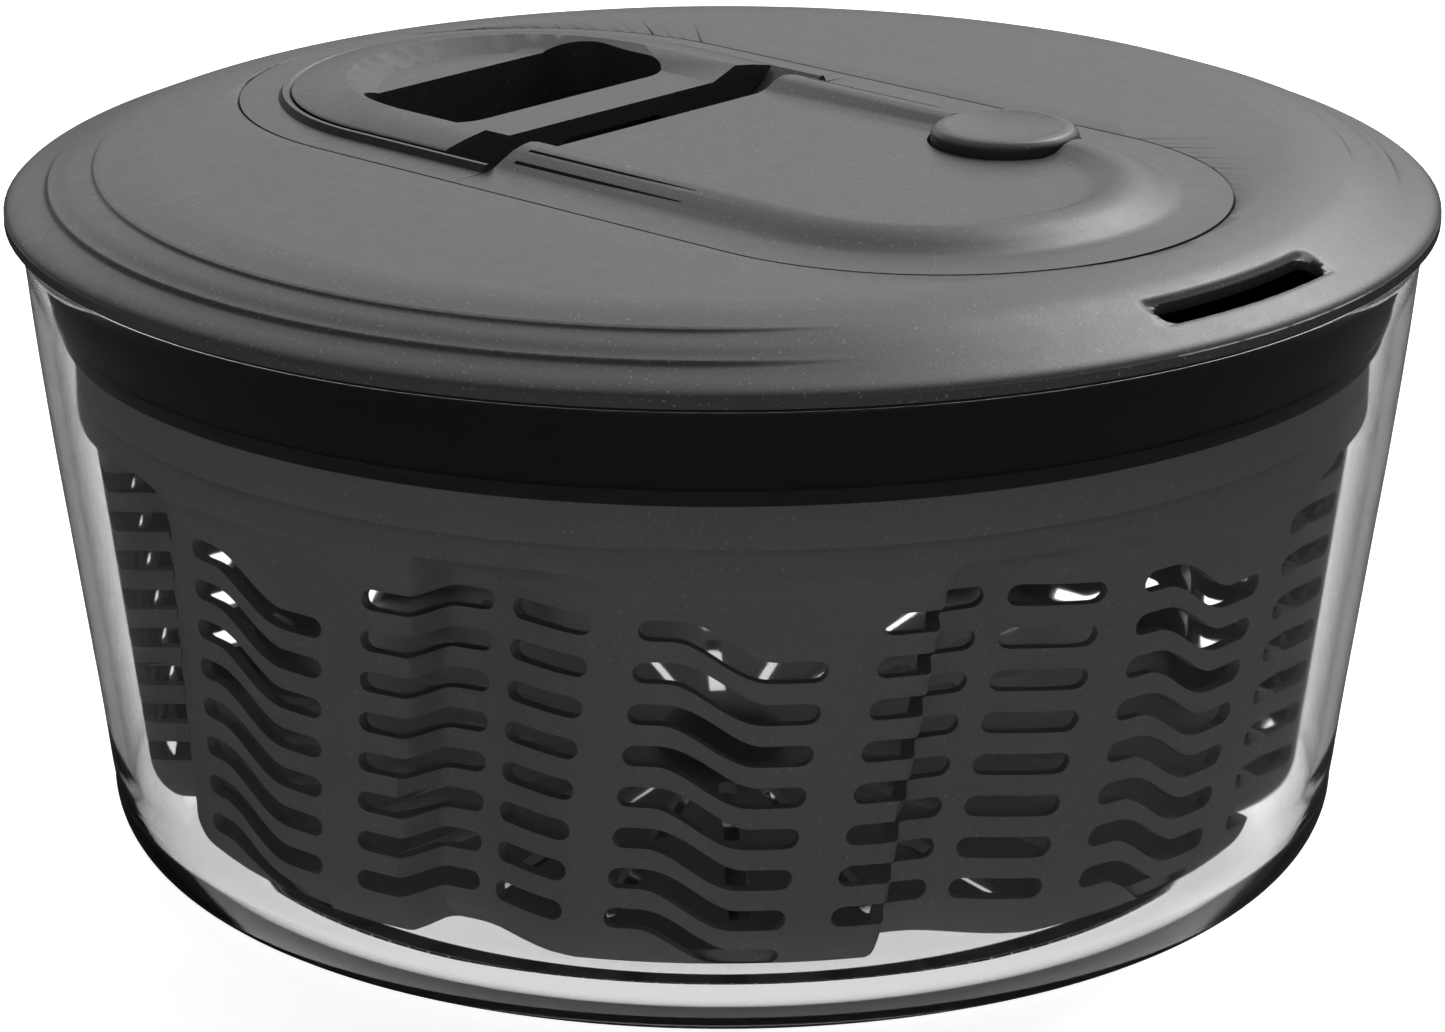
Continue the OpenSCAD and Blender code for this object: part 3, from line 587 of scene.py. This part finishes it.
def domed_lid():
    """The CAD lid cut to its finished top: a smooth dome with two ridges that fade out."""
    radii = [0, 60, 103] + [105 + 1.5 * k for k in range(6)] \
        + [114 + 0.3 * k for k in range(12)] + [117.8 + 0.45 * k for k in range(12)] \
        + [123.2 + 0.3 * k for k in range(8)] + [126 + 0.8 * k for k in range(6)] \
        + [130.4, 130.8, 131.1, 131.4, 131.65, 131.9, 132.2]
    turns = [-12 + 0.6 * k for k in range(41)] + [12 + 1.5 * k for k in range(1, 224)]
    verts = [(0, 0, 132)]
    for a in turns:
        c, sn = math.cos(math.radians(a)), math.sin(math.radians(a))
        wrapped = (a + 180) % 360 - 180
        verts += [(r * c, r * sn, lid_top(r, wrapped)) for r in radii[1:]]
    n, m = len(radii) - 1, len(turns)
    low = len(verts)
    verts += [(verts[1 + i * n + n - 1][0], verts[1 + i * n + n - 1][1], 90) for i in range(m)]
    faces = []
    for i in range(m):
        j = (i + 1) % m
        faces.append((0, 1 + i * n, 1 + j * n))
        for k in range(n - 1):
            a0, b0 = 1 + i * n + k, 1 + j * n + k
            faces += [(a0, a0 + 1, b0 + 1), (a0, b0 + 1, b0)]
        faces.append((1 + i * n + n - 1, low + i, low + j, 1 + j * n + n - 1))
    faces.append(tuple(low + i for i in reversed(range(m))))
    lump = bpy.data.objects.new("lump", mesh_of("lump", verts, faces))
    me = NODES["lid_shell"].data.copy()
    bm = bmesh.new()
    bm.from_mesh(me)
    bmesh.ops.remove_doubles(bm, verts=bm.verts, dist=1e-6)
    bm.to_mesh(me)
    bm.free()
    ob = finish_piece("lid_dome", me, "lid_body", "lid_plastic", 40)
    bpy.context.scene.collection.objects.link(lump)
    mod = ob.modifiers.new("cut", "BOOLEAN")
    mod.operation = "INTERSECT"
    mod.solver = "MANIFOLD"
    mod.object = lump
    done = bpy.data.meshes.new_from_object(ob.evaluated_get(bpy.context.evaluated_depsgraph_get()))
    ob.modifiers.clear()
    ob.data = done
    bpy.data.objects.remove(lump)
    bm = bmesh.new()
    bm.from_mesh(done)
    bmesh.ops.remove_doubles(bm, verts=bm.verts, dist=2e-6)
    bmesh.ops.dissolve_degenerate(bm, edges=bm.edges, dist=2e-6)
    bm.to_mesh(done)
    bm.free()
    done.shade_smooth()
    done.set_sharp_from_angle(angle=math.radians(38))
    done.materials.clear()
    done.materials.append(MAT["lid_plastic"])
    even_shading(ob)
    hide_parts("lid_shell")
    return ob


domed_lid()
for node, bevel in (("lid_inner", 0.25), ("mechanism_cover", 0.35), ("handle_top", 0.4),
                    ("handle_bottom", 0.3), ("brake_button", 0.35), ("foot_ring", 0.3), ("lid_seal", 0.15),
                    ("drive_disc", 0.25), ("reel", 0.25), ("reel_cap", 0.25), ("mechanism_base", 0.25)):
    refined(node, bevel)


# ---------------------------------------------------------------- cord and springs
def tube(name, path, r, sides=10):
    verts, faces = [], []
    for i, p in enumerate(path):
        t = (Vector(path[min(i + 1, len(path) - 1)]) - Vector(path[max(i - 1, 0)])).normalized()
        u = t.cross(Vector((0, 0, 1))).normalized()
        v = u.cross(t)
        for k in range(sides):
            a = 2 * math.pi * k / sides
            verts.append(Vector(p) + (u * math.cos(a) + v * math.sin(a)) * r)
    for i in range(len(path) - 1):
        for k in range(sides):
            m = (k + 1) % sides
            faces.append((i * sides + k, i * sides + m, (i + 1) * sides + m, (i + 1) * sides + k))
    faces.append(tuple(range(sides))[::-1])
    faces.append(tuple((len(path) - 1) * sides + k for k in range(sides)))
    me = mesh_of(name, verts, faces)
    bm = bmesh.new()
    bm.from_mesh(me)
    bmesh.ops.recalc_face_normals(bm, faces=bm.faces)
    bm.to_mesh(me)
    bm.free()
    return me


route = [(-9.65, 12.76, 117.5), (-18, 6.44, 117.5), (-24, 1.9, 117.5), (-25.5, 0.8, 117.5),
         (-27, 0.2, 117.5), (-28.5, 0, 117.5)]
route += [(-28.5 - 6.0 * i / 60, 0, 117.5) for i in range(1, 61)]
cord = tube("pull_cord_run", route, 1.0)
cord.shade_smooth()
cord.materials.append(MAT["cord_fibre"])
cord_ob = bpy.data.objects.new("pull_cord_run", cord)
bpy.context.scene.collection.objects.link(cord_ob)
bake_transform(cord_ob)
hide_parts("pull_cord")

coil = finish_piece("brake_coil", NODES["brake_spring"].data.copy(), "lid_body", "spring_steel", 60)
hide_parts("brake_spring")
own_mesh(coil)


# ---------------------------------------------------------------- stage, lights, camera
def looked_at(nt):
    """1 for a sight line, straight or through clear plastic; 0 for reflections and bounced light."""
    path = nt.nodes.new("ShaderNodeLightPath")

    def calc(kind, a, b):
        m = nt.nodes.new("ShaderNodeMath")
        m.operation = kind
        for k, v in enumerate((a, b)):
            if hasattr(v, "links"):
                nt.links.new(v, m.inputs[k])
            else:
                m.inputs[k].default_value = v
        return m.outputs[0]
    sight = calc("MAXIMUM", path.outputs["Is Camera Ray"], path.outputs["Is Transmission Ray"])
    # Light led round inside the clear wall counts as sight; a single reflection doesn't
    led = calc("MULTIPLY", calc("GREATER_THAN", path.outputs["Glossy Depth"], 1.5),
               calc("LESS_THAN", path.outputs["Transmission Depth"], 3.5))
    mirrored = calc("SUBTRACT", calc("GREATER_THAN", path.outputs["Glossy Depth"], 0.5), led)
    bounced = calc("ADD", path.outputs["Diffuse Depth"], mirrored)
    return calc("MULTIPLY", sight, calc("LESS_THAN", bounced, 0.5)), \
        calc("GREATER_THAN", path.outputs["Diffuse Depth"], 0.5)


def floor():
    me = bpy.data.meshes.new("floor")
    s = 6.0
    me.from_pydata([(-s, -s, 0), (s, -s, 0), (s, s, 0), (-s, s, 0)], [], [(0, 1, 2, 3)])
    mat, nt, bsdf, out = new_material("floor_paper")
    bsdf.inputs["Base Color"].default_value = (0.93, 0.93, 0.93, 1)
    bsdf.inputs["Roughness"].default_value = 0.9
    bsdf.inputs["Specular IOR Level"].default_value = 0.0
    bsdf.inputs["Emission Color"].default_value = (1, 1, 1, 1)
    bsdf.inputs["Emission Strength"].default_value = 0.8
    dim = nt.nodes.new("ShaderNodeBsdfDiffuse")
    dim.inputs[0].default_value = (0.04, 0.04, 0.04, 1)
    glow = nt.nodes.new("ShaderNodeEmission")
    glow.inputs[1].default_value = 0.95
    bounced = nt.nodes.new("ShaderNodeMixShader")
    pick = nt.nodes.new("ShaderNodeMixShader")
    seen, lit = looked_at(nt)
    nt.links.new(lit, bounced.inputs[0])
    nt.links.new(dim.outputs[0], bounced.inputs[1])
    nt.links.new(glow.outputs[0], bounced.inputs[2])
    nt.links.new(seen, pick.inputs[0])
    nt.links.new(bounced.outputs[0], pick.inputs[1])
    nt.links.new(bsdf.outputs[0], pick.inputs[2])
    nt.links.new(pick.outputs[0], out.inputs[0])
    me.materials.append(mat)
    ob = bpy.data.objects.new("floor", me)
    bpy.context.scene.collection.objects.link(ob)


def area_light(name, where, target, size, power, size_y=None):
    data = bpy.data.lights.new(name, "AREA")
    data.energy = power
    data.shape = "RECTANGLE"
    data.size = size
    data.size_y = size_y or size
    ob = bpy.data.objects.new(name, data)
    ob.location = where
    ob.rotation_mode = "QUATERNION"
    ob.rotation_quaternion = (Vector(target) - Vector(where)).to_track_quat("-Z", "Y")
    bpy.context.scene.collection.objects.link(ob)
    return ob


floor()
AZ, EL, DIST, AIM = math.radians(43), math.radians(18.5), 1.0555, Vector((0, 0, 0.05927))
away = Vector((-math.sin(AZ), math.cos(AZ), 0))
side = Vector((math.cos(AZ), math.sin(AZ), 0))


def studio_world(seen, fill):
    """White paper where it is looked at, also through clear plastic; a dim room as a light."""
    world = bpy.data.worlds.new("studio")
    world.use_nodes = True
    nt = world.node_tree
    nt.nodes.clear()
    out = nt.nodes.new("ShaderNodeOutputWorld")
    pick = nt.nodes.new("ShaderNodeMixShader")
    nt.links.new(looked_at(nt)[0], pick.inputs[0])
    for socket, level in ((1, fill), (2, seen)):
        bg = nt.nodes.new("ShaderNodeBackground")
        bg.inputs[0].default_value = (1, 1, 1, 1)
        bg.inputs[1].default_value = level
        nt.links.new(bg.outputs[0], pick.inputs[socket])
    nt.links.new(pick.outputs[0], out.inputs[0])
    bpy.context.scene.world = world


studio_world(1.0, 0.10)
area_light("overhead", Vector((0, 0, 1.65)) + away * 0.75, (0, 0, 0.1), 2.2, 12.5)
area_light("back_panel", away * 2.2 + Vector((0, 0, 0.95)), (0, 0, 0.13), 3.6, 13.5, 1.0)
area_light("key", away * 1.15 + side * 0.85 + Vector((0, 0, 1.45)), (0, 0, 0.13), 0.8, 22)
area_light("front_panel", -away * 2.4 + Vector((0, 0, 0.75)), (0, 0, 0.06), 2.6, 1.4, 1.3)

cam = bpy.data.cameras.new("camera")
cam.sensor_width = 36.0
cam.lens = 5600 / 1445 * 36.0
cam.clip_start, cam.clip_end = 0.05, 50
cam_ob = bpy.data.objects.new("camera", cam)
cam_ob.location = AIM + DIST * Vector(
    (math.cos(EL) * math.sin(AZ), -math.cos(EL) * math.cos(AZ), math.sin(EL)))
cam_ob.rotation_mode = "QUATERNION"
cam_ob.rotation_quaternion = (AIM - cam_ob.location).to_track_quat("-Z", "Y")
bpy.context.scene.collection.objects.link(cam_ob)
bpy.context.scene.camera = cam_ob
bpy.context.scene.view_settings.view_transform = "Standard"
